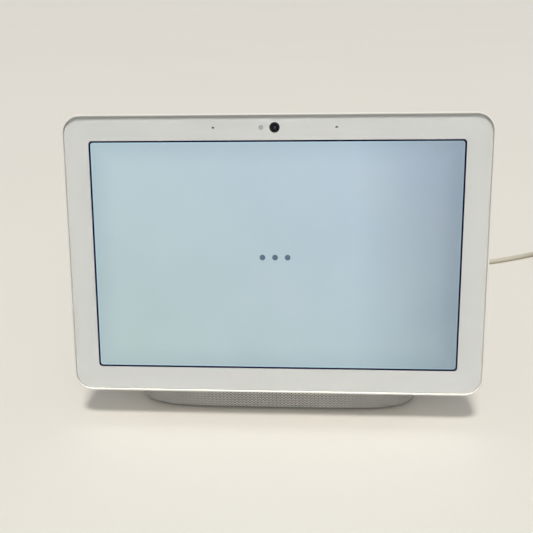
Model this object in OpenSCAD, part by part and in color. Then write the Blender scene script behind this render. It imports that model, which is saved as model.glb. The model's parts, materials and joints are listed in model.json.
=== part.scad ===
// A smart display: a thin tilted screen on a fabric covered speaker base, with its power cord.
// The origin is on the table under the middle of the object, +X is the viewer's right, and the
// screen faces -Y. All sizes are in millimetres.

/* [Head] */
// Width of the housing
head_w = 250.1; // [248:0.1:252]
// Height of the housing, up its slope
head_h = 168; // [167:0.1:169]
// Thickness of the housing, front to back
head_t = 14; // [14:0.1:14.5]
// How far the screen leans back, in degrees
tilt = 15; // [14:0.5:16]
// Height of the housing's lower front edge over the table
head_lift = 20.3; // [20:0.1:22]
// Radius of the housing's corners
corner_r = 11; // [10.5:0.1:12]
// Radius of the housing's back edges
back_edge_r = 8; // [7:0.5:8]
// Wall of the rear cover
cover_wall = 2; // [1.8:0.1:2]
// Width of the rim that shows round the glass
rim_w = 1; // [0.9:0.1:1.2]
// Open groove between the rim and the glass
glass_gap = 0.5; // [0.3:0.1:0.5]

/* [Screen] */
// Thickness of the cover glass
glass_t = 1.6; // [1.4:0.1:1.6]
// Width of the lit area
active_w = 216.96; // [210:0.01:218]
// Height of the lit area
active_h = 135.6; // [130:0.01:136]
// Dark line round the lit area
dark_line = 1; // [0.8:0.1:1.1]
// Height of the camera over the middle of the screen
camera_up = 76; // [75:0.1:76.5]
// Distance of each microphone from the camera
mic_spacing = 35.6; // [30:0.1:40]

/* [Base] */
// Width of the base at the table
base_w = 182; // [181:1:186]
// Width of the base at its top
base_top_w = 164; // [160:1:170]
// Front of the base at the table
base_front = -41; // [-41:0.1:-40]
// Back of the base at the table
base_back = 50.6; // [50:0.1:52]
// Height of the base
base_h = 118; // [116:1:120]
// How squarely the base's outline turns its corners
outline_power = 3.5; // [3:0.1:4]
// Thickness of the knitted sleeve
fabric_t = 1.2; // [1:0.1:1.3]
// Wall of the speaker enclosure
enclosure_wall = 2.5; // [2:0.1:2.5]
// Thickness of the rubber foot
foot_t = 2.2; // [2:0.1:2.4]

/* [Speakers] */
// Outer diameter of the woofer's frame
woofer_d = 76; // [75:1:77]
// Height of the woofer's middle over the table
woofer_up = 50; // [49:1:51]
// Diameter of the tweeters' frames
tweeter_d = 19; // [18:0.5:19]
// Height of the tweeters' middles over the table
tweeter_up = 40; // [38:1:42]

/* [Controls] */
// Travel of the privacy switch
privacy_travel = 3; // [2:0.5:3]
// Length of the volume rocker
rocker_l = 23.4; // [20:0.1:24]
// Width of the volume rocker
rocker_w = 5.4; // [5:0.1:6]

/* [Power cord] */
// Diameter of the cord
cord_d = 4; // [3.6:0.1:4]
// Radius of the innermost turn of the coil
coil_in = 16; // [16:1:18]
// Radius of the outermost turn of the coil
coil_out = 32.3; // [32:0.1:34]

/* [Hidden] */
$fn = 48;
fit = 0.1; // gap between pieces that sit in each other
head_mid = head_h / 2;
glass_w = head_w - 2 * rim_w - 2 * glass_gap;
glass_h = head_h - 2 * rim_w - 2 * glass_gap;
glass_r = corner_r - rim_w - glass_gap;
rim_y = 0.35; // the rim starts this far behind the glass's face
window_w = active_w + 2 * dark_line;
window_h = active_h + 2 * dark_line;

// Depths of the layers of the head, from the face of the glass
print_y = glass_t;
print_t = 0.1;
glue_y = print_y + print_t;
frame_front = 2.0;
lcd_y = 2.2;
lcd_t = 1.2;
guide_y = 3.5;
guide_t = 1.8;
tray_back = 5.4;
tray_t = 0.4;
frame_y = 6.0;
frame_t = 1.0;
frame_back = frame_y + frame_t;
cover_in = head_t - cover_wall;
board_y = 8.8;
board_t = 1.2;
board_back = board_y + board_t;

// The panel sits a little low behind the glass, clear of the camera
panel_w = 228;
panel_h = 144.6;
panel_mid = 82.5;
frame_w = 244.6;
frame_h = 162;
camera_z = head_mid + camera_up;
sensor_x = -7.9;

// Places of the screws
cover_screws = [for (x = [-118.9, 118.9], z = [30, 84, 138]) [x, z],
                for (x = [-80, 80]) [x, 6], for (x = [-80, 80]) [x, 160.6]];
board_box = [-60, 44, 92, 142]; // left, right, low and high edge of the main board
board_screws = [for (x = [board_box[0] + 4, board_box[1] - 4],
                     z = [board_box[2] + 4, board_box[3] - 4]) [x, z]];
neck_mid = 55;
neck_w = 60;
clamp_y = 18.7;
neck_l = 40;
neck_screws_in = [for (x = [-37.5, 37.5], z = [36, 74]) [x, z]];
neck_screws_out = [for (x = [-25.5, 25.5], z = [neck_mid - 15.5, neck_mid + 15.5]) [x, z]];
screw_r = 0.98;
thread_r = 1.0;

// Controls on the back
privacy_z = 152;
rocker_x = 104;
rocker_z = 118;
rocker_pin_y = 12.4;

// The base's outline
base_low = 1.2; // lower edge of the sleeve
front_gap = 0.6; // between the sleeve and the back of the head
heel_h = 14;
back_slope = 0.44;
back_bulge = 2.5;
top_round_h = 10;
heel_r = 3;
plate_z = foot_t;
plate_t = 3;
gasket_z = plate_z + plate_t;
gasket_t = 0.8;
enclosure_low = gasket_z + gasket_t;
skin = fabric_t + 0.2; // from the sleeve's outside to the enclosure
inside = skin + enclosure_wall; // from the sleeve's outside to the enclosure's inside
sides = 40;
shoulder_low = 9; // the front of the base turns back under the head between these heights
shoulder_high = 19;
boss_r = 3.4;
boss_h = 6.5;
board_posts = [for (x = [47, 75], y = [9, 31]) [x, y]];

// Where the speakers sit
woofer_lean = atan(back_slope);
woofer_inset = 9.5;
woofer_r = woofer_d / 2;
cup_r = woofer_r + 1.5;
cup_wall = 2.5;
cup_h = 4.4;
baffle_t = 3;
baffle_hole_r = 33.4;
woofer_screw_r = 35.6;
basket_h = 15;
magnet_gap_r = 11.8;
pole_r = 10.3;
coil_r = 11.05;
tweeter_r = tweeter_d / 2;
tweeter_x = half_w(tweeter_up) - 4.26;
tweeter_y = -6;

// Power inlet
jack_x = 62;
jack_y = 45.6;
jack_z = 16.7;
barrel_r = 2.75;
grip_l = 23;
relief_l = 14;

// The cord's route along the table, from the end of the plug to the start of the coil
cord_r = cord_d / 2;
plug_end = jack_y + grip_l + relief_l;
route = [[62, 82.4, 16.7], [62, 92, 15.6], [62.6, 101, 11.6], [64, 111, 6.4], [66.5, 121, 3.2],
         [71, 132, 2.1], [79, 144, 2.1], [91, 155, 2.1], [107, 165, 2.1], [126, 172, 2.1],
         [146, 175.4, 2.1], [166, 178.4, 2.1], [185, 183.2, 2.1], [205, 190.6, 2.1],
         [227, 200.4, 2.1], [238, 205.6, 2.3], [249, 210.6, 2.8]];
coil_mid = [260.05, 180.25];
coil_low = 0.8; // the coil lies on its tie
coil_h = 8.15;
lead = [[292.35, 180.25, 6.85], [292.4, 172, 7.3], [292.4, 163, 9.8], [292.4, 155, 12.8], [292.4, 147, 14.4],
        [292.4, 140, 14.5], [292.4, 126, 14.5], [292.4, 113, 14.5]];
lead_end = lead[len(lead) - 1];
adapter_mid = [292.4, 90, 14.5];
adapter_size = [46, 72, 29];

// ---- frames of reference -------------------------------------------------------------------

// Head: x across, y into the head from the face of the glass, z up the slope from the lower edge
module on_head() {
    translate([0, -(base_back), head_lift]) rotate([-tilt, 0, 0]) children();
}

// Across the head: a round piece's own z axis runs into the head from depth y
module into_head(x, z, y) {
    translate([x, y, z]) rotate([-90, 0, 0]) children();
}

// Woofer: z runs out of the back along the cone's travel, 0 is the face of its baffle
function back_y(z) = base_back - max(0, z - heel_h) * back_slope
    + back_bulge * sin(180 * min(1, max(0, z - heel_h) / (base_h - heel_h)));
module on_woofer() {
    out = [0, cos(woofer_lean), sin(woofer_lean)];
    translate([0, back_y(woofer_up), woofer_up] - woofer_inset * out)
        rotate([woofer_lean - 90, 0, 0]) children();
}

// Tweeter: z runs out of the side along the dome's travel, side is -1 for left and 1 for right
module on_tweeter(side) {
    translate([side * tweeter_x, tweeter_y, tweeter_up]) rotate([0, side * 90, 0]) children();
}

// ---- shapes --------------------------------------------------------------------------------

module rounded_rect(w, h, r) {
    square([w - 2 * r, h], center = true);
    square([w, h - 2 * r], center = true);
    for (x = [-1, 1], z = [-1, 1]) translate([x * (w / 2 - r), z * (h / 2 - r)]) circle(r);
}

// A rounded plate parallel to the screen, its front at depth y
module plate(w, h, r, y, t, mid = head_mid, x = 0) {
    translate([x, y + t, mid]) rotate([90, 0, 0]) linear_extrude(t) rounded_rect(w, h, r);
}

// A box in the head between two corners given as x, z and depth
module slab(x0, x1, z0, z1, y0, y1) {
    translate([x0, y0, z0]) cube([x1 - x0, y1 - y0, z1 - z0]);
}

module tube(r_out, r_in, h) {
    difference() {
        cylinder(r = r_out, h = h);
        translate([0, 0, -1]) cylinder(r = r_in, h = h + 2);
    }
}

// A pan head screw whose head sits on z = 0 and whose shank runs down
module screw(head_r, head_h, shank_l) {
    difference() {
        cylinder(r = head_r, h = head_h);
        translate([0, 0, head_h * 0.45]) cylinder(r = head_r * 0.45, h = head_h, $fn = 6);
    }
    translate([0, 0, -shank_l]) cylinder(r = screw_r, h = shank_l);
}

// One loop of the housing at depth y, drawn in by step_in
function head_ring(step_in, y, steps = 6) =
    let (r = max(2.5, corner_r - step_in), w = head_w / 2 - step_in - r, h = head_h / 2 - step_in - r)
    [for (q = [0 : 3], s = [0 : steps]) let (a = 90 * (q + s / steps))
        [(q < 2 ? w : -w) + r * sin(a), y, head_mid + (q % 3 == 0 ? h : -h) + r * cos(a)]];
function head_bend(wall, edge_r) = [for (a = [0 : 22.5 : 90])
    head_ring(wall + edge_r * (1 - cos(a)), head_t - back_edge_r + edge_r * sin(a))];

// The base's outline at one height, drawn in by off all round
function head_plane_y(z) = -base_back + (head_t + front_gap) / cos(tilt) + (z - head_lift) * tan(tilt);
function front_y(z) = z >= shoulder_high ? head_plane_y(z)
    : let (s = max(0, z - shoulder_low) / (shoulder_high - shoulder_low))
      base_front + (head_plane_y(shoulder_high) - base_front) * (1 - sqrt(1 - s * s));
function half_w(z) = base_w / 2
    - (base_w - base_top_w) / 2 * pow(max(0, z - heel_h) / (base_h - heel_h), 1.3);
function front_power(z) = outline_power + 1.8 + 3.7 * min(1, max(0, (z - 8) / 30));
function top_step(z, off) =
    let (top = base_h - off, s = min(1, max(0, (z - top + top_round_h) / top_round_h)),
         room = (back_y(top) - front_y(top)) / 2 - off - 0.9)
    room * (1 - sqrt(1 - s * s));
boss_spots = [for (a = [20, 160, 225, 270, 315]) let (p = base_ring(8, inside + 2, 72)[a / 5]) [p[0], p[1]]];
function heel_step(z) = let (s = max(0, base_low + heel_r - z)) heel_r - sqrt(heel_r * heel_r - s * s);
function bent(v, power) = sign(v) * pow(abs(v), 2 / power);
function base_ring(z, off, n = sides) =
    let (step_in = off + top_step(z, off) + heel_step(max(z, base_low)),
         w = half_w(z) - step_in,
         d = (back_y(z) - front_y(z)) / 2 - step_in,
         mid = (back_y(z) + front_y(z)) / 2)
    [for (k = [0 : n - 1]) let (a = 360 * k / n, p = sin(a) < 0 ? front_power(z) : outline_power)
        [w * bent(cos(a), p), mid + d * bent(sin(a), p), z]];
function levels(low, top) = [low, low + 1, low + 2.2, 9, 13, 16, 18, 19, 26, 38, 58, 80,
                             top - 10, top - 6.5, top - 3.5, top - 1.5, top - 0.4, top];

// Triangles between two rings of n points whose first points are a and b
function band(a, b, n) = [for (k = [0 : n - 1]) let (j = (k + 1) % n)
    each [[a + k, b + k, b + j], [a + k, b + j, a + j]]];
function flipped(faces) = [for (f = faces) [f[2], f[1], f[0]]];
function cap(first, middle, n) = [for (k = [0 : n - 1]) [first + k, middle, first + (k + 1) % n]];

function middle(ring) = [for (i = [0 : 2]) (min([for (p = ring) p[i]]) + max([for (p = ring) p[i]])) / 2];

// A cup between two lists of rings, each running from the mouth to the closed end
module cup(outer, inner) {
    n = len(outer[0]);
    m = len(outer);
    k = len(inner);
    ends = (m + k) * n;
    polyhedron(
        points = concat([for (r = outer) each r], [for (r = inner) each r],
                        [middle(outer[m - 1]), middle(inner[k - 1])]),
        faces = concat(
            [for (i = [0 : m - 2]) each band(i * n, (i + 1) * n, n)],
            cap((m - 1) * n, ends, n),
            flipped([for (i = [m : m + k - 2]) each band(i * n, (i + 1) * n, n)]),
            flipped(cap((m + k - 1) * n, ends + 1, n)),
            flipped(band(0, m * n, n))));
}

// A solid through a list of rings
module stack(rings) {
    n = len(rings[0]);
    m = len(rings);
    polyhedron(
        points = concat([for (r = rings) each r], [middle(rings[0]), middle(rings[m - 1])]),
        faces = concat(
            flipped(cap(0, m * n, n)),
            [for (i = [0 : m - 2]) each band(i * n, (i + 1) * n, n)],
            cap((m - 1) * n, m * n + 1, n)));
}

// A bowl turned over: closed at the top, open at the bottom, wall thick
module base_shell(off, wall, low) {
    cup([for (z = levels(low, base_h - off)) base_ring(z, off)],
        [for (z = levels(low, base_h - off - wall)) base_ring(z, off + wall)]);
}

// The base's outline as a flat outline at one height
module base_outline(z, off) {
    polygon([for (p = base_ring(z, off, 72)) [p[0], p[1]]]);
}

function unit(v) = v / norm(v);
function along(path, i) = unit(path[min(i + 1, len(path) - 1)] - path[max(i - 1, 0)]);
function ring(c, t, r, n, up) = let (s = unit(cross(t, up)), u = cross(s, t))
    [for (k = [0 : n - 1]) c + r * (cos(360 * k / n) * s + sin(360 * k / n) * u)];

// A point on a smooth curve through four points, between the second and third
function between(a, b, c, d, t) = 0.5 * (2 * b + (c - a) * t + (2 * a - 5 * b + 4 * c - d) * t * t
    + (3 * b - a - 3 * c + d) * t * t * t);
function smooth(path, parts) = let (m = len(path)) [for (i = [0 : m - 2], s = [0 : parts - 1])
    between(path[max(i - 1, 0)], path[i], path[i + 1], path[min(i + 2, m - 1)], s / parts), path[m - 1]];

// A round tube swept along a path; up is any direction the path never runs along
module sweep(path, r, n = 8, up = [0, 0, 1]) {
    m = len(path);
    polyhedron(
        points = [for (i = [0 : m - 1]) each ring(path[i], along(path, i), r, n, up)],
        faces = concat([[for (k = [n - 1 : -1 : 0]) k]],
            [for (i = [0 : m - 2]) each [for (k = [0 : n - 1]) let (j = (k + 1) % n)
                each [[i * n + k, i * n + j, (i + 1) * n + j],
                      [i * n + k, (i + 1) * n + j, (i + 1) * n + k]]]],
            [[for (k = [0 : n - 1]) (m - 1) * n + k]]));
}

// ---- screen --------------------------------------------------------------------------------

module mic_slots(y0, y1) {
    for (x = [-mic_spacing, mic_spacing]) slab(x - 0.75, x + 0.75, camera_z - 0.5, camera_z + 0.5, y0, y1);
}

module cover_glass() {
    color("whitesmoke") on_head() difference() {
        plate(glass_w, glass_h, glass_r, 0, glass_t);
        mic_slots(-1, glass_t + 1);
    }
}

module bezel_print() {
    color("gainsboro") on_head() difference() {
        plate(glass_w - 0.4, glass_h - 0.4, glass_r - 0.2, print_y, print_t);
        plate(window_w, window_h, 2, print_y - 1, 3);
        into_head(0, camera_z, print_y - 1) cylinder(r = 3, h = 3);
        into_head(sensor_x, camera_z, print_y - 1) cylinder(r = 1.35, h = 3);
        mic_slots(print_y - 1, print_y + 2);
    }
}

module glass_adhesive() {
    color("dimgray") on_head() difference() {
        plate(frame_w - 0.2, frame_h - 0.2, 8, glue_y, frame_front - glue_y);
        plate(232, 149, 2, glue_y - 1, 3, panel_mid);
        into_head(0, camera_z, 0) cylinder(r = 4, h = 4);
        into_head(sensor_x, camera_z, 0) cylinder(r = 2, h = 4);
        for (x = [-mic_spacing, mic_spacing]) into_head(x, camera_z, 0) cylinder(r = 2.6, h = 4);
    }
}

module screen_gasket() {
    color("midnightblue") on_head() difference() {
        plate(panel_w - 2, panel_h - 2, 1, glue_y, lcd_y - glue_y, panel_mid);
        plate(active_w, active_h, 1.5, glue_y - 1, 3);
    }
}

module lcd_panel() {
    color("lightblue") on_head() plate(panel_w, panel_h, 1, lcd_y, lcd_t, panel_mid);
}

module light_guide() {
    color("azure") on_head() plate(222, 137.8, 0.8, guide_y, guide_t, 84.1);
}

module led_bar() {
    color("khaki") on_head() {
        slab(-108, 108, 12.2, 12.8, guide_y + 0.1, guide_y + 1.5);
        for (x = [-102 : 12 : 102]) slab(x - 2, x + 2, 12.8, 14.9, guide_y + 0.2, guide_y + 1.2);
    }
}

module backlight_tray() {
    color("silver") on_head() difference() {
        plate(panel_w - 0.4, panel_h - 1.2, 1, guide_y, tray_back + tray_t - guide_y, panel_mid);
        plate(panel_w - 1.4, panel_h - 2.2, 0.5, guide_y - 1, tray_back - guide_y + 1, panel_mid);
    }
}

// ---- head ----------------------------------------------------------------------------------

module mid_frame() {
    color("lightsteelblue") on_head() difference() {
        union() {
            difference() {
                plate(frame_w, frame_h, 8, frame_front, frame_back - frame_front);
                plate(231, 147, 1.5, frame_front - 1, frame_y - frame_front + 1, panel_mid);
            }
            for (s = board_screws) into_head(s[0], s[1], frame_back - 0.2)
                cylinder(r = 2.4, h = board_y - frame_back + 0.2);
        }
        for (s = board_screws) into_head(s[0], s[1], frame_y - 1) cylinder(r = thread_r, h = 5);
        for (s = neck_screws_in) into_head(s[0], s[1], frame_y - 1) cylinder(r = thread_r, h = 5);
        for (s = cover_screws) {
            into_head(s[0], s[1], frame_front - 1) cylinder(r = 2.2, h = 3.8);
            into_head(s[0], s[1], frame_front - 1) cylinder(r = 1.2, h = 8);
        }
        into_head(0, camera_z, frame_front - 1) cylinder(r = 3.8, h = 8);
        into_head(sensor_x, camera_z, frame_front - 1) cylinder(r = 1.8, h = 8);
        for (x = [-mic_spacing, mic_spacing])
            into_head(x, camera_z, frame_front - 1) cylinder(r = 2.5, h = 8);
        slab(-65, -43, 9.8, 11, frame_y - 1, frame_back + 1);
    }
}

module rear_cover() {
    color("white") on_head() difference() {
        union() {
            cup(concat([head_ring(0.4, rim_y), head_ring(0.1, rim_y + 0.12),
                        head_ring(0, rim_y + 0.4)], head_bend(0, back_edge_r)),
                concat([head_ring(rim_w, rim_y), head_ring(rim_w, frame_front),
                        head_ring(cover_wall, frame_front)],
                       head_bend(cover_wall, back_edge_r - cover_wall)));
            for (s = cover_screws) into_head(s[0], s[1], frame_back + 0.05)
                cylinder(r = 2.8, h = cover_in - frame_back + 0.15);
            for (x = [rocker_x - 4.4, rocker_x + 4.4])
                slab(x - 0.9, x + 0.9, rocker_z - 2.4, rocker_z + 2.4, 10.6, cover_in + 0.2);
        }
        for (s = cover_screws) into_head(s[0], s[1], frame_back - 1) cylinder(r = thread_r, h = 4.8);
        slab(-neck_w / 2 - 1, neck_w / 2 + 1, neck_mid - neck_l / 2 - 1, neck_mid + neck_l / 2 + 1,
             cover_in - 1, head_t + 1);
        slab(-4.9, 4.9, privacy_z - 2.2, privacy_z + 2.2, cover_in - 1, head_t + 1);
        slab(rocker_x - rocker_w / 2 - 0.3, rocker_x + rocker_w / 2 + 0.3, rocker_z - rocker_l / 2 - 0.3,
             rocker_z + rocker_l / 2 + 0.3, cover_in - 3, head_t + 1);
        translate([rocker_x - 7, rocker_pin_y - 0.6, rocker_z]) rotate([0, 90, 0]) cylinder(r = 0.8, h = 14);
    }
}

module camera_barrel() {
    color("black") on_head() into_head(0, camera_z, glue_y) rotate_extrude()
        polygon([[1.7, 0.1], [3.3, 0.1], [3.3, 0.9], [2.9, 0.9], [2.9, 5.2], [1.1, 5.2], [1.1, 2.6],
                 [1.7, 2.6]]);
}

module camera_lens() {
    color("darkslategray") on_head() into_head(0, camera_z, glue_y + 1.3) intersection() {
        cylinder(r = 1.6, h = 1.2);
        translate([0, 0, 3.4]) sphere(r = 3.3);
    }
}

module camera_board() {
    color("darkgreen") on_head() {
        slab(-4, 12, 155, 164.2, frame_back, 7.8);
        slab(6, 11, 158.5, 162, 7.8, 8.8);
    }
}

module sensor_board() {
    color("green") on_head() {
        slab(-14, -4.4, 156, 164, frame_back, 7.8);
        slab(-13, -10.6, 158, 161, 7.8, 8.6);
    }
}

module light_pipe() {
    color("darkgray") on_head() into_head(sensor_x, camera_z, glue_y + 0.05) cylinder(r = 1.3, h = 5.2);
}

module microphone_boards() {
    color("seagreen") on_head() for (x = [-mic_spacing, mic_spacing]) {
        slab(x - 6, x + 6, camera_z - 3.5, camera_z + 3.5, frame_back, 7.8);
        slab(x - 1.9, x + 1.9, camera_z - 1.4, camera_z + 1.4, 7.8, 8.8);
    }
}

module microphone_boots() {
    color("dimgray") on_head() for (x = [-mic_spacing, mic_spacing])
        into_head(x, camera_z, glue_y) tube(2.2, 0.7, frame_back - glue_y - 0.05);
}

module main_board() {
    color("darkgreen") on_head() difference() {
        union() {
            slab(board_box[0], board_box[1], board_box[2], board_box[3], board_y, board_back);
            slab(-34, -20, 112, 126, board_back, board_back + 1); // processor
            for (z = [108, 121]) slab(-16, -6, z, z + 11, board_back, board_back + 0.9); // memory
            slab(16, 25, 116, 125, board_back, board_back + 0.9); // radio
            slab(-52, -42, 100, 106, board_back, board_back + 1.4); // screen connector
            for (x = [-4 : 7 : 10]) slab(x, x + 4, 97, 101, board_back, board_back + 1.3); // coils
            slab(18, 30, 93, 97, board_back, board_back + 1.7); // base connector
        }
        for (s = board_screws) into_head(s[0], s[1], board_y - 1) cylinder(r = 1.1, h = 4);
    }
}

module shield_can(x0, x1, z0, z1) {
    difference() {
        slab(x0, x1, z0, z1, board_back, board_back + 1.4);
        slab(x0 + 0.3, x1 - 0.3, z0 + 0.3, z1 - 0.3, board_back - 1, board_back + 1.15);
    }
}

module shield_cans() {
    color("silver") on_head() {
        shield_can(-38, -3, 105.5, 135);
        shield_can(12, 36, 110, 132);
    }
}

module heat_spreader() {
    color("gray") on_head() slab(-42, 38, 102, 136, board_back + 1.45, board_back + 1.85);
}

module wifi_antennas() {
    color("goldenrod") on_head() for (side = [-1, 1]) translate([side * 88, 0, 0]) {
        slab(-16, 16, 150, 157, 8.2, 8.8);
        slab(-13, 9, 155, 157, 8.8, cover_in);
    }
}

module privacy_switch_body() {
    color("dimgray") on_head() difference() {
        slab(-9.8, 9.8, privacy_z - 3.4, privacy_z + 3.4, 8.6, cover_in);
        slab(-8.3, 8.3, privacy_z - 4, privacy_z + 4, 10.9, cover_in + 1);
        slab(-3, 3, privacy_z - 1.2, privacy_z + 1.2, 9.7, cover_in + 1);
    }
}

module privacy_switch_knob() {
    color("gainsboro") on_head() translate([-privacy_travel / 2, 0, privacy_z]) {
        slab(-6, 6, -2.9, 2.9, 11.2, 11.7);
        slab(-1, 1, -0.8, 0.8, 10, 11.3);
        plate(6, 3.4, 0.8, 11.6, head_t + 0.8 - 11.6, 0);
        for (x = [-1.6, 0, 1.6]) slab(x - 0.3, x + 0.3, -1.3, 1.3, head_t + 0.7, head_t + 1.1);
    }
}

module volume_rocker() {
    color("gainsboro") on_head() difference() {
        union() {
            plate(rocker_w, rocker_l, 2.5, cover_in - 0.6, head_t + 0.9 - cover_in + 0.6, rocker_z, rocker_x);
            slab(rocker_x - 2.4, rocker_x + 2.4, rocker_z - 2, rocker_z + 2, 10.6, cover_in);
            for (z = [rocker_z - 8, rocker_z + 8]) into_head(rocker_x, z, 10.75) cylinder(r = 1, h = 1);
        }
        translate([rocker_x - 7, rocker_pin_y - 0.6, rocker_z]) rotate([0, 90, 0]) cylinder(r = 0.85, h = 14);
    }
}

module volume_pivot_pin() {
    color("silver") on_head() translate([rocker_x - 5.2, rocker_pin_y - 0.6, rocker_z]) rotate([0, 90, 0])
        cylinder(r = 0.79, h = 10.4);
}

module volume_board() {
    color("green") on_head() {
        slab(rocker_x - 4, rocker_x + 4, rocker_z - 13, rocker_z + 13, 8.2, 9);
        for (z = [rocker_z - 12, rocker_z + 12])
            slab(rocker_x - 2, rocker_x + 2, z - 1, z + 1, frame_back, 8.3);
        for (z = [rocker_z - 8, rocker_z + 8]) {
            slab(rocker_x - 1.8, rocker_x + 1.8, z - 1.8, z + 1.8, 9, 9.9);
            into_head(rocker_x, z, 9.9) cylinder(r = 0.9, h = 0.25);
        }
    }
}

module display_flex() {
    color("orange") on_head() {
        slab(-64, -44, 10.3, 10.5, lcd_y + lcd_t, 7.3);
        slab(-64, -44, 10.3, 90.5, 7.1, 7.3);
        slab(-60, -48, 86, 91.5, 7.2, 10.6);
    }
}

module camera_flex() {
    color("darkorange") on_head() {
        slab(7, 11, 138.5, 157.5, 8.4, 8.6);
        slab(7, 11, 155.5, 157.5, 7.8, 8.5);
    }
}

module head_screws() {
    color("gray") on_head() {
        for (s = cover_screws) into_head(s[0], s[1], 4.8) rotate([180, 0, 0]) screw(1.9, 1.2, 5);
        for (s = board_screws) into_head(s[0], s[1], board_back) screw(1.9, 1.2, 3.8);
        for (s = neck_screws_in) into_head(s[0], s[1], 9.1) screw(1.9, 1.2, 3);
        for (s = neck_screws_out) into_head(s[0], s[1], clamp_y + 2) screw(1.9, 1.2, 7);
    }
}

// ---- neck and base -------------------------------------------------------------------------

module neck_bracket() {
    color("slategray") on_head() difference() {
        union() {
            slab(-42, 42, 31, 79, 7.1, 9.1);
            slab(-neck_w / 2, neck_w / 2, neck_mid - neck_l / 2, neck_mid + neck_l / 2, 9, clamp_y - 0.1);
        }
        difference() {
            slab(-neck_w / 2 + 3, neck_w / 2 - 3, neck_mid - neck_l / 2 + 3,
                 neck_mid + neck_l / 2 - 3, 6, 20);
            for (s = neck_screws_out) into_head(s[0], s[1], 5) cylinder(r = 3.6, h = 16);
        }
        for (s = neck_screws_out) into_head(s[0], s[1], 12) cylinder(r = thread_r, h = 8);
        for (s = neck_screws_in) into_head(s[0], s[1], 5) cylinder(r = 1.2, h = 6);
        slab(-6, 6, 70, 90, 9.2, 11.8);
    }
}

module neck_clamp_plate() {
    color("slategray") on_head() difference() {
        slab(-35, 35, 28, 82, clamp_y, clamp_y + 2);
        slab(-14, 14, 44, 66, 18, 21);
        for (s = neck_screws_out) into_head(s[0], s[1], 18) cylinder(r = 1.2, h = 4);
    }
}

// The way through for the neck, in the sleeve and in the enclosure
module neck_way(gap) {
    on_head() slab(-neck_w / 2 - gap, neck_w / 2 + gap, neck_mid - neck_l / 2 - gap,
                   neck_mid + neck_l / 2 + gap, head_t - 2, clamp_y + 4);
}

module jack_way(r) {
    translate([jack_x, jack_y - 9, jack_z]) rotate([-90, 0, 0]) cylinder(r = r, h = 20);
}

module fabric_sleeve() {
    color("darkgray") difference() {
        base_shell(0, fabric_t, base_low);
        neck_way(0.6);
        jack_way(7);
    }
}

module speaker_enclosure() {
    color("dimgray") difference() {
        union() {
            base_shell(skin, enclosure_wall, enclosure_low);
            for (s = boss_spots) translate([s[0], s[1], enclosure_low]) cylinder(r = boss_r, h = boss_h);
        }
        on_woofer() translate([0, 0, -baffle_t]) cylinder(r = cup_r + cup_wall + fit, h = 30);
        for (side = [-1, 1]) on_tweeter(side) translate([0, 0, -3]) cylinder(r = tweeter_r + 0.2, h = 15);
        for (s = boss_spots) translate([s[0], s[1], enclosure_low - 1]) cylinder(r = thread_r, h = 7);
        neck_way(fit);
        jack_way(6.6);
    }
}

module enclosure_gasket() {
    color("black") translate([0, 0, gasket_z]) linear_extrude(gasket_t) difference() {
        base_outline(6, skin + 0.2);
        base_outline(6, inside);
    }
}

module base_plate() {
    color("darkslategray") difference() {
        union() {
            translate([0, 0, plate_z]) linear_extrude(plate_t) base_outline(6, skin + 0.8);
            for (s = board_posts) translate([s[0], s[1], gasket_z - 0.5]) cylinder(r = 2.5, h = 3.9);
        }
        for (s = boss_spots) translate([s[0], s[1], plate_z - 1]) {
            cylinder(r = 1.2, h = 9);
            cylinder(r = 2.2, h = 2.4);
        }
        for (s = board_posts) translate([s[0], s[1], plate_z + 1]) cylinder(r = thread_r, h = 9);
    }
}

module base_screws() {
    color("gray") {
        for (s = boss_spots) translate([s[0], s[1], plate_z + 1.4]) rotate([180, 0, 0]) screw(1.9, 1.2, 7.6);
        for (s = board_posts) translate([s[0], s[1], 10.2]) screw(1.9, 1.2, 5.5);
        for (a = [45 : 90 : 315]) on_woofer() rotate(a) translate([woofer_screw_r, 0, 2]) screw(1.9, 1.2, 4);
    }
}

module rubber_foot() {
    color("gray") linear_extrude(foot_t) difference() {
        base_outline(6, 4.6);
        base_outline(6, 17);
    }
}

// ---- woofer --------------------------------------------------------------------------------

module woofer_baffle() {
    color("dimgray") on_woofer() difference() {
        translate([0, 0, -baffle_t]) cylinder(r = cup_r + cup_wall, h = baffle_t + cup_h);
        cylinder(r = cup_r, h = cup_h + 1);
        translate([0, 0, -baffle_t - 1]) cylinder(r = baffle_hole_r, h = baffle_t + 2);
        for (a = [45 : 90 : 315]) rotate(a) translate([woofer_screw_r, 0, -baffle_t - 1])
            cylinder(r = thread_r, h = baffle_t + 2);
    }
}

module woofer_basket() {
    color("darkslategray") on_woofer() difference() {
        rotate_extrude() polygon([[woofer_r, 0.05], [woofer_r, 2], [31.5, 2], [31.5, 0.5], [23, -9.9],
                                  [19.5, -9.9], [19.5, -basket_h + 1], [12.4, -basket_h + 1],
                                  [12.4, -basket_h],
                                  [21, -basket_h], [21, -10.9], [24, -10.9], [33.2, 0.05]]);
        for (a = [45 : 90 : 315]) rotate(a) translate([woofer_screw_r, 0, -1]) cylinder(r = 1.2, h = 4);
        for (a = [0 : 60 : 300]) rotate(a) translate([19, -4, -14]) cube([4, 8, 3]);
    }
}

module woofer_magnet() {
    color("dimgray") on_woofer() translate([0, 0, -basket_h - 11]) tube(23, 14, 8);
}

module woofer_top_plate() {
    color("silver") on_woofer() translate([0, 0, -basket_h - 3]) tube(21, magnet_gap_r, 3);
}

module woofer_yoke() {
    color("silver") on_woofer() translate([0, 0, -basket_h - 14]) {
        cylinder(r = 21, h = 3);
        cylinder(r = pole_r, h = 13.5);
    }
}

module voice_coil() {
    color("peru") on_woofer() {
        translate([0, 0, -21]) tube(coil_r, coil_r - 0.25, 14);
        translate([0, 0, -20]) tube(coil_r + 0.3, coil_r, 6);
    }
}

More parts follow.
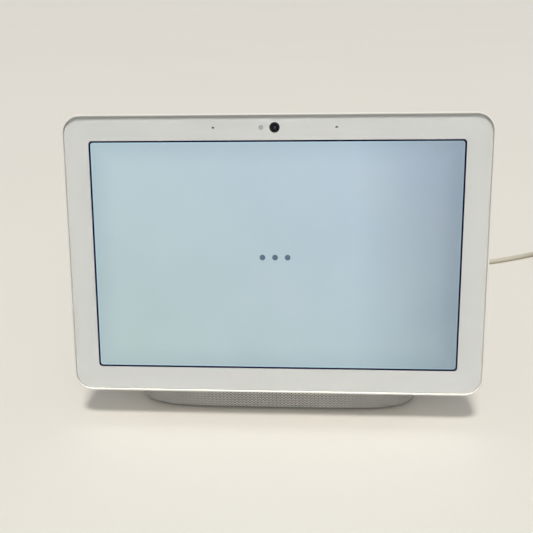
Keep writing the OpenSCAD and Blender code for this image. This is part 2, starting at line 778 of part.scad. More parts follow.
module woofer_cone() {
    color("black") on_woofer() {
        rotate_extrude() polygon([[coil_r, -7.2], [coil_r + 0.5, -7.2], [26.5, 2.2], [26.5, 2.8], [25.8, 2.8],
                                  [coil_r, -6.4]]);
        rotate_extrude() intersection() {
            difference() {
                translate([0, -19.4]) circle(r = 18);
                translate([0, -19.4]) circle(r = 17.5);
            }
            translate([0, -6]) square([12.6, 8]);
        }
    }
}

module woofer_surround() {
    color("black") on_woofer() rotate_extrude() intersection() {
        difference() {
            translate([29.3, 2.05]) circle(r = 2.6);
            translate([29.3, 2.05]) circle(r = 2.1);
        }
        translate([20, 2.05]) square([20, 5]);
    }
}

module woofer_spider() {
    color("tan") on_woofer() translate([0, 0, -9.85]) tube(22.7, coil_r + 0.05, 0.5);
}

module tweeter(side) {
    color("black") on_tweeter(side) {
        translate([0, 0, 0.05]) tube(tweeter_r, 7.6, 1.6);
        translate([0, 0, -6]) difference() {
            cylinder(r = 8.2, h = 6.1);
            translate([0, 0, 1.5]) cylinder(r = 6.9, h = 8);
        }
        translate([0, 0, -5]) cylinder(r = 5.4, h = 3.6);
    }
}

module left_tweeter() {
    tweeter(-1);
}

module right_tweeter() {
    tweeter(1);
}

module tweeter_dome(side) {
    color("dimgray") on_tweeter(side) rotate_extrude() {
        intersection() {
            difference() {
                translate([0, -8]) circle(r = 10);
                translate([0, -8]) circle(r = 9.7);
            }
            translate([0, -3]) square([6.4, 8]);
        }
        translate([5.95, -3.2]) square([0.45, 3]);
    }
}

module left_tweeter_dome() {
    tweeter_dome(-1);
}

module right_tweeter_dome() {
    tweeter_dome(1);
}

// ---- power ---------------------------------------------------------------------------------

module power_board() {
    color("darkgreen") difference() {
        union() {
            translate([44, 6, 8.6]) cube([34, 28, 1.6]);
            translate([57, 12, 10.1]) cube([8, 8, 3.2]); // inductor
            for (y = [14, 22]) translate([70, y, 10.1]) cylinder(r = 3, h = 8); // capacitors
            translate([48.5, 20, 10.1]) cube([6, 8, 4]); // connector
        }
        for (s = board_posts) translate([s[0], s[1], 8]) cylinder(r = 1.1, h = 9);
    }
}

module dc_jack() {
    color("black") difference() {
        union() {
            translate([jack_x - 6.5, 28, 10.2]) cube([13, 9.5, 12.5]);
            translate([jack_x, 37, jack_z]) rotate([-90, 0, 0]) cylinder(r = 6.2, h = jack_y - 37);
        }
        translate([jack_x, jack_y - 10, jack_z]) rotate([-90, 0, 0]) cylinder(r = barrel_r, h = 11);
    }
    color("silver") translate([jack_x, jack_y - 10.5, jack_z]) rotate([-90, 0, 0]) cylinder(r = 0.9, h = 9);
}

function head_point(x, y, z) = [x, -base_back + y * cos(tilt) + z * sin(tilt),
                                head_lift - y * sin(tilt) + z * cos(tilt)];
trunk = concat([[51.5, 24, 14.3], [50, 21, 18], [44, 14, 25], [30, 2, 37], [16, -9, 50]],
               [head_point(4, 24, 56), head_point(2, 19.4, 62), head_point(0, 13.5, 66.5),
                head_point(0, 10.5, 71.5), head_point(6, 10.5, 80), head_point(16, 10.6, 86),
                head_point(23, 10.8, 92.8)]);
woofer_pair = [[53.4, 24, 14.3], [52.4, 22, 19], [44, 17, 27], [34, 14, 34], [26, 15.5, 40],
               [23.5, 16.2, 41]];
left_pair = [[49.5, 19.8, 12.2], [47, 12, 13], [40, 4, 12], [20, -10, 9.5], [-20, -16, 9], [-50, -14, 12],
             [-68, -8, 26], [6.3 - tweeter_x, tweeter_y, tweeter_up - 2]];
right_pair = [[53.5, 19.8, 12.6], [54.5, 10, 15], [63, 3, 18], [73, -3, 28], [tweeter_x - 6.3, tweeter_y, tweeter_up - 2]];

module base_harness() {
    color("crimson") {
        sweep(smooth(trunk, 2), 1, 8, [1, 0, 0.02]);
        sweep(smooth(woofer_pair, 3), 0.7, 8);
        sweep(smooth(left_pair, 2), 0.7, 8);
        sweep(smooth(right_pair, 3), 0.7, 8);
    }
}

// ---- cord ----------------------------------------------------------------------------------

module dc_plug() {
    color("whitesmoke") translate([jack_x, jack_y, jack_z]) rotate([-90, 0, 0]) difference() {
        union() {
            rotate_extrude() polygon([[0, 0.2], [4.4, 0.2], [5, 0.8], [5, grip_l - 5], [4.2, grip_l - 1],
                                      [3.2, grip_l], [cord_r + 0.5, grip_l + relief_l], [0, grip_l + relief_l]]);
            translate([0, 0, -9.3]) cylinder(r = barrel_r - 0.05, h = 9.6);
        }
        translate([0, 0, -10]) cylinder(r = 1.1, h = 9.8);
        translate([0, 0, plug_end - jack_y - 0.4]) cylinder(r = cord_r + 0.05, h = 2);
    }
}

module power_cord() {
    color("lightgray") sweep(smooth(route, 3), cord_r, 8);
}

module cord_coil() {
    color("lightgray") translate([coil_mid[0], coil_mid[1], coil_low])
        tube(coil_out + cord_r + 0.1, coil_in - cord_r - 0.1, coil_h);
}

module cord_tie() {
    color("dimgray") translate([coil_mid[0], coil_mid[1], 0]) rotate(250)
        translate([(coil_in + coil_out) / 2, 3, coil_low + coil_h / 2]) rotate([90, 0, 0]) linear_extrude(6)
            difference() {
                square([coil_out - coil_in + cord_d + 2.4, coil_h + 1.6], center = true);
                square([coil_out - coil_in + cord_d + 0.9, coil_h + 0.1], center = true);
            }
}

module adapter_lead() {
    color("lightgray") sweep(smooth(lead, 3), cord_r, 8);
}

function adapter_ring(step_in, z, r = 9, steps = 6) =
    let (q_r = r - step_in, w = adapter_size[0] / 2 - r, l = adapter_size[1] / 2 - r)
    [for (q = [0 : 3], s = [0 : steps]) let (a = 90 * (q + s / steps))
        [(q % 3 == 0 ? w : -w) + q_r * cos(a), (q < 2 ? l : -l) + q_r * sin(a), z]];

module power_adapter() {
    color("whitesmoke") difference() {
        union() {
            translate(adapter_mid) stack([for (a = [-90 : 22.5 : 90]) adapter_ring(4 * (1 - cos(a)),
                sign(a) * (adapter_size[2] / 2 - 4) + 4 * sin(a))]);
            translate(adapter_mid + [0, adapter_size[1] / 2 - 0.2, 0]) rotate([-90, 0, 0]) rotate_extrude()
                polygon([[0, 0], [4.6, 0], [3.4, 6], [cord_r + 0.5, 16.2], [0, 16.2]]);
        }
        translate(lead_end - [0, 0.2, 0]) rotate([-90, 0, 0]) cylinder(r = cord_r + 0.05, h = 40);
    }
}

module adapter_prongs() {
    color("silver") translate(adapter_mid + [0, -adapter_size[1] / 2, 0]) for (x = [-6.35, 6.35])
        translate([x - 0.75, -16, -3.15]) cube([1.5, 16, 6.3]);
}

cover_glass();
bezel_print();
glass_adhesive();
screen_gasket();
lcd_panel();
light_guide();
led_bar();
backlight_tray();
mid_frame();
rear_cover();
camera_barrel();
camera_lens();
camera_board();
sensor_board();
light_pipe();
microphone_boards();
microphone_boots();
main_board();
shield_cans();
heat_spreader();
wifi_antennas();
privacy_switch_body();
privacy_switch_knob();
volume_rocker();
volume_pivot_pin();
volume_board();
display_flex();
camera_flex();
head_screws();
neck_bracket();
neck_clamp_plate();
fabric_sleeve();
speaker_enclosure();
enclosure_gasket();
base_plate();
base_screws();
rubber_foot();
woofer_baffle();
woofer_basket();
woofer_magnet();
woofer_top_plate();
woofer_yoke();
voice_coil();
woofer_cone();
woofer_surround();
woofer_spider();
left_tweeter();
right_tweeter();
left_tweeter_dome();
right_tweeter_dome();
power_board();
dc_jack();
base_harness();
dc_plug();
power_cord();
cord_coil();
cord_tie();
adapter_lead();
power_adapter();
adapter_prongs();
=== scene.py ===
"""A smart display: a thin tilted screen on a fabric covered speaker base, with its power cord.

All sizes are in metres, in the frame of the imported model: +X is the viewer's right, the screen
faces -Y, and the origin is on the table under the middle of the object.
"""
import json
import math

import bmesh
import bpy
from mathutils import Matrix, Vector


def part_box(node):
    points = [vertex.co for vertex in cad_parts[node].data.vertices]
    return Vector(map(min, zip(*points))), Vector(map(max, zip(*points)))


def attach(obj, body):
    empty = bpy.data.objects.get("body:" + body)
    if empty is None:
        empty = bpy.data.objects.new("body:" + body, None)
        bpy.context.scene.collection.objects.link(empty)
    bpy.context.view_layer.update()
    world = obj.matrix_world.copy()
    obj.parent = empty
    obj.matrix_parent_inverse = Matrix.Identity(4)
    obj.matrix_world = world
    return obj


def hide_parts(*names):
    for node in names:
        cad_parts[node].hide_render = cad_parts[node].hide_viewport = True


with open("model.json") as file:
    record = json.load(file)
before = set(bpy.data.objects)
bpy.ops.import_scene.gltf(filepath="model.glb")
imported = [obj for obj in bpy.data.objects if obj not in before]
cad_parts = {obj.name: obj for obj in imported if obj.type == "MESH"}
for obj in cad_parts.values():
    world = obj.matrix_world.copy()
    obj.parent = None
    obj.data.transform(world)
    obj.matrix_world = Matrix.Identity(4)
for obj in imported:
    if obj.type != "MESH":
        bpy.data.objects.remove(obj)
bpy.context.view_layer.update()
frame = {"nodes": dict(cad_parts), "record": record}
nodes = frame["nodes"]
MM = 0.001

# ---- driving sizes, in millimetres, as in the CAD source ------------------------------------
HEAD_W, HEAD_H, HEAD_T = 250.1, 168.0, 14.0
HEAD_MID = HEAD_H / 2
TILT = math.radians(15)
HEAD_LIFT = 20.3
CORNER_R = 11.0
BACK_EDGE_R = 8.0
COVER_WALL = 2.0
RIM_W = 1.0
GLASS_GAP = 0.5
RIM_Y = 0.35
FRAME_FRONT = 2.0
GLASS_T = 1.58  # a hair thinner than in the CAD source, clear of the ink behind it
ACTIVE_W, ACTIVE_H = 216.96, 135.6
CAMERA_Z = HEAD_MID + 76
MIC_SPACING = 35.6
NECK_MID, NECK_W, NECK_L = 55.0, 60.0, 40.0
PRIVACY_Z = 152.0
ROCKER = (104.0, 118.0)
ROCKER_SIZE = (5.4, 23.4)

BASE_W, BASE_TOP_W = 182.0, 164.0
BASE_FRONT, BASE_BACK, BASE_H = -41.0, 50.6, 118.0
OUTLINE_POWER = 3.5
FABRIC_T = 1.2
STITCH_W, STITCH_H = 2.4, 1.9
BASE_LOW = 1.2
FRONT_GAP = 0.6
HEEL_H, HEEL_R = 14.0, 3.0
BACK_SLOPE, BACK_BULGE = 0.44, 2.5
TOP_ROUND_H = 10.0
SHOULDER_LOW, SHOULDER_HIGH = 9.0, 19.0

JACK = (62.0, 45.6, 16.7)
GRIP_L, RELIEF_L = 23.0, 14.0
CORD_D = 4.0
CORD_R = CORD_D / 2
COIL_MID = (260.05, 180.25)
COIL_IN, COIL_OUT = 16.0, 32.3
COIL_LOW, COIL_H = 0.8, 8.15
COIL_LAYERS = (2.8, 6.85)
ADAPTER_MID = (292.4, 90.0, 14.5)
ADAPTER_SIZE = (46.0, 72.0, 29.0)
ROUTE = [(62, 82.4, 16.7), (62, 92, 15.6), (62.6, 101, 11.6), (64, 111, 6.4), (66.5, 121, 3.2),
         (71, 132, 2.1), (79, 144, 2.1), (91, 155, 2.1), (107, 165, 2.1), (126, 172, 2.1),
         (146, 175.4, 2.1), (166, 178.4, 2.1), (185, 183.2, 2.1), (205, 190.6, 2.1), (227, 200.4, 2.1),
         (238, 205.6, 2.3), (249, 210.6, 2.8)]
LEAD = [(292.35, 180.25, 6.85), (292.4, 172, 7.3), (292.4, 163, 9.8), (292.4, 155, 12.8),
        (292.4, 147, 14.4), (292.4, 140, 14.5), (292.4, 126, 14.5), (292.4, 113, 14.5)]


# ---- camera -----------------------------------------------------------------------------------
def make_camera():
    """Stands a little to the viewer's right and looks down on the screen."""
    data = bpy.data.cameras.new("camera")
    data.sensor_width = 36
    data.lens = 47.28
    data.clip_start = 0.01
    camera = bpy.data.objects.new("camera", data)
    camera.location = (0.0214, -0.4053, 0.2739)
    camera.rotation_euler = [math.radians(a) for a in (64.745, 1.26, 3.429)]
    bpy.context.scene.collection.objects.link(camera)
    bpy.context.scene.camera = camera


# ---- mesh helpers -----------------------------------------------------------------------------
def on_head(x, depth, up):
    """A point given across, behind the face of the glass, and up the slope from the lower edge."""
    return Vector((x, -BASE_BACK + depth * math.cos(TILT) + up * math.sin(TILT),
                   HEAD_LIFT - depth * math.sin(TILT) + up * math.cos(TILT))) * MM


def flat(points):
    """Points in millimetres as vectors in metres."""
    return [Vector(p) * MM for p in points]


def piece(name, mesh_or_bmesh, body="chassis", replaces=(), slot=None, smooth=True):
    """Links a mesh as a piece of the object that rides on a body."""
    mesh = mesh_or_bmesh
    if isinstance(mesh, bmesh.types.BMesh):
        bmesh.ops.recalc_face_normals(mesh_or_bmesh, faces=mesh_or_bmesh.faces)
        mesh = bpy.data.meshes.new(name)
        mesh_or_bmesh.to_mesh(mesh)
        mesh_or_bmesh.free()
    obj = bpy.data.objects.new(name, mesh)
    bpy.context.scene.collection.objects.link(obj)
    if smooth:
        mesh.shade_smooth()
        mesh.set_sharp_from_angle(angle=math.radians(38))
    if slot:
        mesh.materials.clear()
        mesh.materials.append(MATERIALS[slot])
    if body:
        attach(obj, body)
    if replaces:
        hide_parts(*replaces)
    return obj


def add_loft(bm, rings, cap_first=True, cap_last=True, closed=False):
    """Quads through rings of equally many points, with fans over the two ends."""
    loops = [[bm.verts.new(p) for p in ring] for ring in rings]
    pairs = list(zip(loops, loops[1:]))
    if closed:
        pairs.append((loops[-1], loops[0]))
    for a, b in pairs:
        for k in range(len(a)):
            j = (k + 1) % len(a)
            bm.faces.new((a[k], a[j], b[j], b[k]))
    for wanted, ring in ((cap_first, loops[0]), (cap_last, loops[-1])):
        if wanted and not closed:
            middle = bm.verts.new(sum((v.co for v in ring), Vector()) / len(ring))
            for k in range(len(ring)):
                bm.faces.new((ring[k], ring[(k + 1) % len(ring)], middle))
    return loops


def loft(rings, **caps):
    bm = bmesh.new()
    add_loft(bm, rings, **caps)
    return bm


def lathe(profile, steps=48, place=None):
    """Turns a profile of (radius, height) in millimetres round its own axis."""
    place = place or (lambda p: Vector(p) * MM)
    rings = []
    for r, h in profile:
        rings.append([place((r * math.cos(2 * math.pi * k / steps), r * math.sin(2 * math.pi * k / steps), h))
                      for k in range(steps)])
    return rings


def rounded_ring(half_w, half_h, r, steps):
    """A rounded rectangle as (across, up) points, clockwise from its top right corner."""
    points = []
    for q in range(4):
        for s in range(steps + 1):
            a = math.radians(90 * (q + s / steps))
            cx = (half_w - r) * (1 if q < 2 else -1)
            cz = (half_h - r) * (1 if q % 3 == 0 else -1)
            points.append((cx + r * math.sin(a), cz + r * math.cos(a)))
    return points


def plate_ring(w, h, r, depth, mid=HEAD_MID, x=0.0, steps=10):
    return [on_head(x + a, depth, mid + b) for a, b in rounded_ring(w / 2, h / 2, r, steps)]


def cut(target, cutters):
    """Takes closed bmesh shapes out of a mesh object."""
    for i, bm in enumerate(cutters):
        bmesh.ops.recalc_face_normals(bm, faces=bm.faces)
        mesh = bpy.data.meshes.new(f"cutter_{i}")
        bm.to_mesh(mesh)
        bm.free()
        tool = bpy.data.objects.new(mesh.name, mesh)
        bpy.context.scene.collection.objects.link(tool)
        modifier = target.modifiers.new("cut", "BOOLEAN")
        modifier.operation = "DIFFERENCE"
        modifier.solver = "EXACT"
        modifier.object = tool
        apply_modifiers(target)
        bpy.data.objects.remove(tool)
        bpy.data.meshes.remove(mesh)


def apply_modifiers(obj):
    bpy.context.view_layer.update()
    graph = bpy.context.evaluated_depsgraph_get()
    mesh = bpy.data.meshes.new_from_object(obj.evaluated_get(graph), preserve_all_data_layers=True,
                                           depsgraph=graph)
    old = obj.data
    obj.modifiers.clear()
    obj.data = mesh
    bpy.data.meshes.remove(old)


def bevel(obj, width, segments=3, angle=35):
    modifier = obj.modifiers.new("bevel", "BEVEL")
    modifier.width = width * MM
    modifier.segments = segments
    modifier.limit_method = "ANGLE"
    modifier.angle_limit = math.radians(angle)
    modifier.harden_normals = False


# ---- materials --------------------------------------------------------------------------------
class Surface:
    """A material with one Principled shader, and short ways to add nodes that drive it."""

    def __init__(self, name, colour, rough, metallic=0.0, **sockets):
        self.material = bpy.data.materials.new(name)
        self.material.use_nodes = True
        self.tree = self.material.node_tree
        self.tree.nodes.clear()
        self.output = self.tree.nodes.new("ShaderNodeOutputMaterial")
        self.shader = self.tree.nodes.new("ShaderNodeBsdfPrincipled")
        self.tree.links.new(self.shader.outputs[0], self.output.inputs[0])
        self.colour = colour
        self.shader.inputs["Base Color"].default_value = (*colour, 1)
        self.shader.inputs["Roughness"].default_value = rough
        self.shader.inputs["Metallic"].default_value = metallic
        for key, value in sockets.items():
            self.shader.inputs[key.replace("_", " ")].default_value = value
        self.rough = rough
        self.coords = self.add("ShaderNodeTexCoord").outputs["Object"]

    def add(self, kind, inputs=None, **settings):
        node = self.tree.nodes.new(kind)
        for key, value in settings.items():
            setattr(node, key, value)
        for key, value in (inputs or {}).items():
            if isinstance(value, bpy.types.NodeSocket):
                self.tree.links.new(value, node.inputs[key])
            else:
                node.inputs[key].default_value = value
        return node

    def math(self, operation, a, b=0.0, clamp=False):
        return self.add("ShaderNodeMath", {0: a, 1: b}, operation=operation, use_clamp=clamp).outputs[0]

    def stretched(self, scale):
        return self.add("ShaderNodeMapping", {"Vector": self.coords, "Scale": scale}).outputs[0]

    def noise(self, scale, detail=3.0, coords=None, rough=0.55):
        return self.add("ShaderNodeTexNoise", {"Vector": coords or self.coords, "Scale": scale,
                                               "Detail": detail, "Roughness": rough}).outputs["Fac"]

    def between(self, value, low, high, from_low=0.3, from_high=0.7):
        return self.add("ShaderNodeMapRange", {"Value": value, "From Min": from_low, "From Max": from_high,
                                               "To Min": low, "To Max": high}).outputs[0]

    def mix(self, factor, a, b, blend="MIX"):
        node = self.add("ShaderNodeMix", data_type="RGBA", blend_type=blend)
        for socket, value in ((node.inputs[0], factor), (node.inputs[6], a), (node.inputs[7], b)):
            if isinstance(value, bpy.types.NodeSocket):
                self.tree.links.new(value, socket)
            else:
                socket.default_value = value if isinstance(value, float) else (*value, 1)
        return node.outputs[2]

    def paint(self, colour=None, rough=None):
        if colour is not None:
            self.tree.links.new(colour, self.shader.inputs["Base Color"])
        if rough is not None:
            self.tree.links.new(rough, self.shader.inputs["Roughness"])

    def relief(self, height, depth, strength=1.0):
        node = self.add("ShaderNodeBump", {"Height": height, "Distance": depth, "Strength": strength})
        self.tree.links.new(node.outputs[0], self.shader.inputs["Normal"])


def shaded(colour, amount):
    return tuple(min(1.0, c * amount) for c in colour)


def moulded(name, colour, rough=0.45, spread=0.05, grain=2200, depth=0.00002, **sockets):
    """Moulded plastic or rubber: a fine grain, with soft changes of tone and shine."""
    s = Surface(name, colour, rough, **sockets)
    soft = s.noise(28, 4)
    fine = s.noise(grain, 2)
    tone = s.mix(s.between(soft, 0.0, 1.0), shaded(colour, 1 - spread), shaded(colour, 1 + spread * 0.6))
    flecks = s.between(s.noise(900, 1), 0.0, 0.12, 0.62, 0.8)
    s.paint(s.mix(flecks, tone, shaded(colour, 0.72)), s.between(soft, rough - 0.05, rough + 0.07))
    s.relief(fine, depth)
    return s.material


def brushed(name, colour, rough=0.32, along=(6, 900, 900), **sockets):
    """Drawn or rolled metal: long fine scratches along one direction."""
    s = Surface(name, colour, rough, 1.0, **sockets)
    streak = s.noise(3, 5, s.stretched(along))
    cloud = s.noise(45, 4)
    s.paint(s.mix(s.between(cloud, 0.0, 0.5), s.mix(streak, shaded(colour, 0.86), shaded(colour, 1.08)),
                  shaded(colour, 0.75)), s.between(streak, rough - 0.08, rough + 0.12))
    s.relief(streak, 0.000012)
    return s.material


def cast(name, colour, rough=0.5):
    """Die cast or ground metal: a pebbled skin with darker pits."""
    s = Surface(name, colour, rough, 1.0)
    skin = s.noise(700, 5)
    pits = s.between(s.noise(260, 3), 0.0, 0.6, 0.6, 0.8)
    s.paint(s.mix(pits, colour, shaded(colour, 0.55)), s.between(skin, rough - 0.1, rough + 0.15))
    s.relief(skin, 0.00004)
    return s.material


def circuit_board(name):
    """Green solder mask with paler tracks and small gold pads."""
    s = Surface(name, (0.02, 0.13, 0.07), 0.3)
    bricks = {"Vector": s.coords, "Scale": 260.0, "Mortar Size": 0.018, "Color1": (1, 1, 1, 1),
              "Color2": (0.75, 0.75, 0.75, 1), "Mortar": (0, 0, 0, 1)}
    track = s.add("ShaderNodeTexBrick", bricks).outputs["Color"]
    cell = s.add("ShaderNodeTexVoronoi", {"Vector": s.coords, "Scale": 420.0}).outputs["Distance"]
    pads = s.between(cell, 1.0, 0.0, 0.10, 0.16)
    mask = s.mix(track, (0.05, 0.24, 0.13), (0.02, 0.13, 0.07))
    s.paint(s.mix(pads, mask, (0.55, 0.42, 0.16)), s.between(cell, 0.22, 0.4, 0.1, 0.5))
    s.relief(track, 0.00002)
    return s.material


def woven(name, colour, pitch=0.0006, depth=0.00008, rough=0.85, **sockets):
    """Plain cloth: two crossing sets of threads, with painted light and shade on their relief."""
    s = Surface(name, colour, rough, **sockets)
    parts = s.add("ShaderNodeSeparateXYZ", {"Vector": s.coords}).outputs
    threads = [s.math("SINE", s.math("MULTIPLY", axis, 2 * math.pi / pitch)) for axis in (parts[0], parts[2])]
    weave = s.between(s.math("MULTIPLY", *threads), 0.0, 1.0, -1.0, 1.0)
    # Painted light and shade: lighter where the weave's relief is high, darker in its dips.
    s.paint(s.mix(weave, shaded(colour, 0.6), shaded(colour, 1.25)))
    s.relief(weave, depth)
    return s.material


def knit(name, light, dark):
    """Melange knit: columns of V shaped stitches, each yarn a slightly different grey, with painted shade in
    the gaps between the yarns.
    """
    s = Surface(name, light, 0.9, Sheen_Weight=0.25, Sheen_Roughness=0.5)
    uv = s.add("ShaderNodeUVMap", uv_map="stitches").outputs[0]
    parts = s.add("ShaderNodeSeparateXYZ", {"Vector": uv}).outputs
    wale = s.math("DIVIDE", parts[0], STITCH_W)
    lean = s.math("ABSOLUTE", s.math("SUBTRACT", s.math("FRACT", wale), 0.5))
    course = s.math("ADD", s.math("DIVIDE", parts[1], STITCH_H), s.math("MULTIPLY", lean, 1.7))
    yarn = s.between(s.math("SINE", s.math("MULTIPLY", course, 2 * math.pi)), 0.0, 1.0, -1.0, 1.0)
    valley = s.math("POWER", s.math("SINE", s.math("MULTIPLY", s.math("FRACT", wale), math.pi)), 0.35)
    height = s.math("MULTIPLY", yarn, valley)
    stitch = s.add("ShaderNodeCombineXYZ", {0: s.math("FLOOR", s.math("MULTIPLY", wale, 2.0)),
                                            1: s.math("FLOOR", course)}).outputs[0]
    random = s.add("ShaderNodeTexWhiteNoise", {"Vector": stitch}, noise_dimensions="2D").outputs["Value"]
    patch = s.noise(0.32, 4, uv)
    lightness = s.math("ADD", s.math("MULTIPLY", random, 0.55), s.between(patch, 0.0, 0.45), clamp=True)
    tone = s.mix(lightness, dark, light)
    fibre = s.noise(9, 3, uv)
    tone = s.mix(s.between(fibre, 0.0, 0.35), tone, shaded(light, 1.12))
    # Painted shade: where the stitch relief is low, between the yarns, the colour goes near black.
    s.paint(s.mix(s.between(height, 1.0, 0.0, 0.22, 0.56), tone, shaded(dark, 0.1)))
    s.relief(s.math("ADD", height, s.math("MULTIPLY", fibre, 0.3)), 0.00032)
    return s.material


def screen(name):
    """The lit picture: a pale blue field, darker at the right, with a row of three dots."""
    s = Surface(name, (0.01, 0.012, 0.016), 0.25)
    uv = s.add("ShaderNodeUVMap", uv_map="picture").outputs[0]
    x, y, _ = s.add("ShaderNodeSeparateXYZ", {"Vector": uv}).outputs
    across = s.math("ADD", s.math("DIVIDE", x, ACTIVE_W), 0.5, clamp=True)
    up = s.math("ADD", s.math("DIVIDE", y, ACTIVE_H), 0.5, clamp=True)
    left = s.mix(up, (0.405, 0.513, 0.497), (0.44, 0.56, 0.60))
    right = s.mix(up, (0.385, 0.50, 0.56), (0.44, 0.53, 0.66))
    field = s.mix(s.math("POWER", across, 1.4), left, right)
    cloud = s.noise(0.018, 2, uv)
    field = s.mix(s.between(cloud, 0.0, 0.35), field, (0.50, 0.60, 0.63))
    edge_x = s.math("SUBTRACT", ACTIVE_W / 2, s.math("ABSOLUTE", x))
    edge_y = s.math("SUBTRACT", ACTIVE_H / 2, s.math("ABSOLUTE", y))
    edge = s.math("MINIMUM", edge_x, edge_y)
    field = s.mix(s.between(edge, 0.30, 0.0, 0.0, 13.0), field, (0.25, 0.35, 0.42))
    field = s.mix(s.between(edge, 0.75, 0.0, 0.25, 0.9), field, (0.42, 0.62, 0.70))
    fade = s.between(across, 1.13, 0.77, 0.72, 0.98)
    grey = s.add("ShaderNodeCombineXYZ", {0: fade, 1: fade, 2: fade}).outputs[0]
    field = s.mix(1.0, field, grey, "MULTIPLY")
    dot_r, pitch = 1.7, 7.5
    from_middle = s.math("ABSOLUTE", x)
    from_outer = s.math("ABSOLUTE", s.math("SUBTRACT", from_middle, pitch))
    aside = s.math("MINIMUM", from_middle, from_outer)
    gap = s.math("SQRT", s.math("ADD", s.math("MULTIPLY", aside, aside), s.math("MULTIPLY", y, y)))
    field = s.mix(s.between(gap, 1.0, 0.0, dot_r - 0.12, dot_r + 0.12), field, (0.09, 0.14, 0.21))
    s.tree.links.new(field, s.shader.inputs["Emission Color"])
    s.shader.inputs["Emission Strength"].default_value = 0.92
    return s.material


def clear(name, colour, rough=0.02, density=0.0):
    """Clear glass that lets light from the lamps through to what lies behind it.

    Its index is below that of real glass, which keeps the reflections as faint as they should look.
    """
    s = Surface(name, colour, rough, Transmission_Weight=1.0, IOR=1.18, Specular_IOR_Level=0.25)
    smear = s.noise(14, 5)
    s.paint(s.mix(s.between(smear, 0.0, density), colour, shaded(colour, 0.8)),
            s.between(smear, rough, rough + 0.03))
    through = s.add("ShaderNodeBsdfTransparent")
    lamp = s.add("ShaderNodeLightPath").outputs["Is Shadow Ray"]
    mixed = s.add("ShaderNodeMixShader", {0: lamp, 1: s.shader.outputs[0], 2: through.outputs[0]})
    s.tree.links.new(mixed.outputs[0], s.output.inputs[0])
    return s.material


def make_materials():
    return {
        "front_glass": clear("front_glass", (0.985, 0.99, 0.99), 0.01),
        "bezel_ink": moulded("bezel_ink", (0.545, 0.548, 0.532), 0.35, 0.015, 1500, 0.000002,
                              Specular_IOR_Level=0.2),
        "adhesive": moulded("adhesive", (0.05, 0.05, 0.05), 0.8, 0.1, 900, 0.00006),
        "dark_line": moulded("dark_line", (0.004, 0.003, 0.03), 0.8, 0.1, 900, 0.00003,
                             Specular_IOR_Level=0.05),
        "screen": screen("screen"),
        "clear_acrylic": moulded("clear_acrylic", (0.36, 0.36, 0.355), 0.2, 0.05, 500, 0.00001),
        "led_strip": moulded("led_strip", (0.8, 0.72, 0.4), 0.3, 0.12, 700, 0.00002),
        "tray_steel": brushed("tray_steel", (0.62, 0.62, 0.63)),
        "frame_alloy": cast("frame_alloy", (0.5, 0.51, 0.53)),
        "housing": moulded("housing", (0.86, 0.835, 0.78), 0.42, 0.025, 2600, 0.000012),
        "black_plastic": moulded("black_plastic", (0.006, 0.006, 0.007), 0.45, 0.2, Specular_IOR_Level=0.12),
        "lens_glass": moulded("lens_glass", (0.012, 0.016, 0.035), 0.04, 0.3, 300, 0.000002, Coat_Weight=0.6),
        "circuit_board": circuit_board("circuit_board"),
        "black_rubber": moulded("black_rubber", (0.02, 0.02, 0.02), 0.75, 0.2, 1200, 0.00005),
        "graphite": brushed("graphite", (0.09, 0.09, 0.1), 0.4),
        "copper": brushed("copper", (0.72, 0.36, 0.2), 0.28),
        "flex_film": moulded("flex_film", (0.5, 0.22, 0.04), 0.25, 0.2, 800, 0.00001),
        "screw_steel": brushed("screw_steel", (0.3, 0.3, 0.32), 0.3),
        "knit": knit("knit", (0.93, 0.925, 0.87), (0.58, 0.58, 0.54)),
        "foot_rubber": moulded("foot_rubber", (0.2, 0.2, 0.19), 0.8, 0.12, 1200, 0.00005),
        "basket_steel": moulded("basket_steel", (0.025, 0.025, 0.028), 0.35, 0.25, 1500, 0.00004,
                                Coat_Weight=0.2),
        "ferrite": cast("ferrite", (0.06, 0.06, 0.062), 0.6),
        "cone_paper": woven("cone_paper", (0.03, 0.03, 0.03), 0.0016, 0.00006, 0.7),
        "spider_cloth": woven("spider_cloth", (0.5, 0.33, 0.13)),
        "dome_silk": woven("dome_silk", (0.07, 0.07, 0.08), 0.0004, 0.00003, 0.5),
        "wire_jacket": moulded("wire_jacket", (0.35, 0.02, 0.02), 0.4, 0.15),
        "plug_plastic": moulded("plug_plastic", (0.74, 0.72, 0.66), 0.45, 0.03, 2200, 0.00002),
        "cord_jacket": moulded("cord_jacket", (0.60, 0.565, 0.465), 0.42, 0.06, 1800, 0.00002),
        "tie_rubber": moulded("tie_rubber", (0.16, 0.16, 0.155), 0.6, 0.12, 1500, 0.00004),
        "nickel": brushed("nickel", (0.72, 0.7, 0.66), 0.22, (900, 6, 900)),
    }


def dress_frame():
    """Every CAD node that stays takes the material of its slot."""
    for part in frame["record"]["subparts"]:
        obj = nodes[part["node"]]
        if not obj.data.materials:
            obj.data.materials.append(None)
        for place in obj.material_slots:
            place.material = MATERIALS[part["material_slot"]]


# ---- cord -------------------------------------------------------------------------------------
def coil_points(steps=16):
    """In along the lower layer, up at the middle, and out again along the upper layer."""
    first = 110.0
    turns = (first + 8 * 360) / 360
    climb = 0.25
    spiral = (turns - climb) / 2
    points = []
    count = round(turns * steps)
    for i in range(1, count):
        t = turns * i / count
        a = math.radians(first - 360 * t)
        if t < spiral:
            r, rise = COIL_OUT - (COIL_OUT - COIL_IN) * t / spiral, 0.0
        elif t < spiral + climb:
            s = (t - spiral) / climb
            r, rise = COIL_IN, s * s * (3 - 2 * s)
        else:
            r, rise = COIL_IN + (COIL_OUT - COIL_IN) * (t - spiral - climb) / spiral, 1.0
        z = COIL_LAYERS[0] + rise * (COIL_LAYERS[1] - COIL_LAYERS[0])
        points.append((COIL_MID[0] + r * math.cos(a), COIL_MID[1] + r * math.sin(a), z))
    return points


